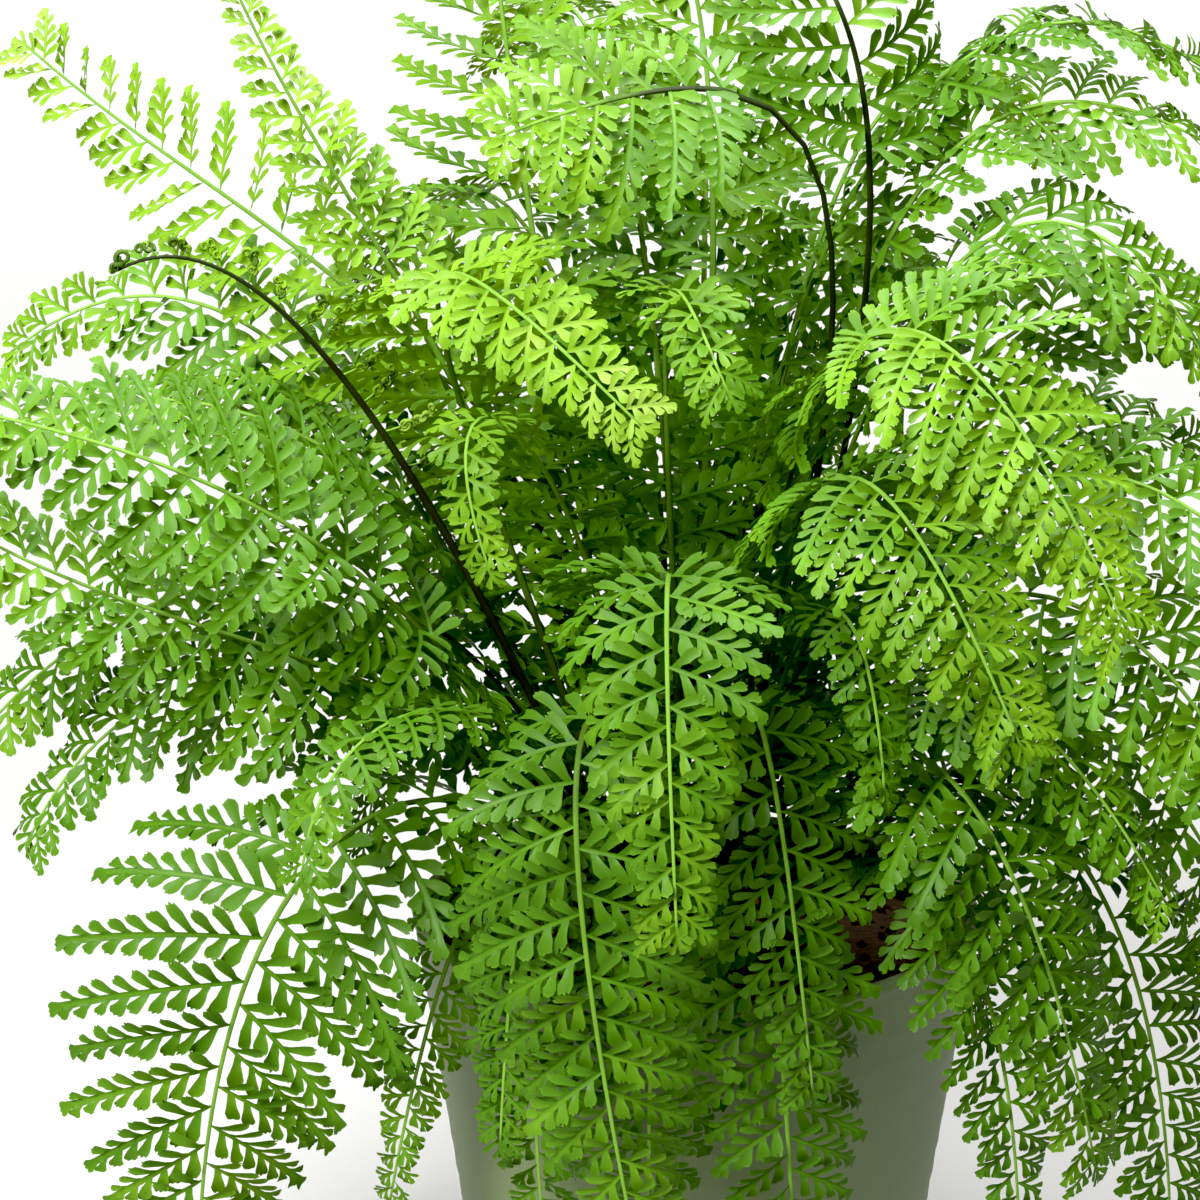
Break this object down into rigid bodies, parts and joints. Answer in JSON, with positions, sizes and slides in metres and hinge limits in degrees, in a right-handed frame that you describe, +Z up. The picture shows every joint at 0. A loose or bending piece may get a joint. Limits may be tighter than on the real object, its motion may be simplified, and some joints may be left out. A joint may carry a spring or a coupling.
{
  "type": "potted fern",
  "caption": "Potted fern with finely cut, feather-like fronds arching from one crown over a plain tapered round pot.",
  "frame": {"origin": "centre of the pot's flat underside", "axes": "+Z up, front of the plant towards -Y, +X to the right seen from the front"},
  "size_m": [0.3842, 0.3126, 0.4621],
  "materials": {
    "pot": "matte glaze",
    "soil": "loose peat and bark",
    "crown": "scaly",
    "frond": "soft satin leaf",
    "young_frond": "soft satin leaf"
  },
  "bodies": {
    "root": {"pot": "pot", "soil": "soil", "crown": "crown", "frond_01": "frond", "frond_02": "frond", "frond_03": "frond", "frond_04": "frond", "frond_05": "frond", "frond_06": "frond", "frond_07": "frond", "frond_08": "frond", "frond_09": "frond", "frond_10": "frond", "frond_11": "frond", "frond_12": "frond", "frond_13": "frond", "frond_14": "frond", "frond_15": "frond", "frond_16": "frond", "frond_17": "frond", "frond_18": "frond", "frond_19": "frond", "frond_20": "frond", "frond_21": "frond", "frond_22": "frond", "frond_23": "frond", "frond_24": "frond", "frond_25": "frond", "frond_26": "frond", "frond_27": "frond", "frond_28": "frond", "frond_29": "frond", "frond_30": "frond", "frond_31": "frond", "frond_32": "frond", "frond_33": "frond", "frond_34": "frond", "frond_35": "frond", "frond_36": "frond", "frond_37": "frond", "frond_38": "frond", "frond_39": "frond", "frond_40": "frond", "frond_41": "frond", "frond_42": "frond", "frond_43": "frond", "frond_44": "frond", "frond_45": "frond", "frond_46": "frond", "frond_47": "frond", "frond_48": "frond", "frond_49": "frond", "frond_50": "frond", "frond_51": "frond", "frond_52": "frond", "frond_53": "frond", "frond_54": "frond", "frond_55": "frond", "frond_56": "frond", "young_frond": "young_frond"}
  },
  "joints": []
}
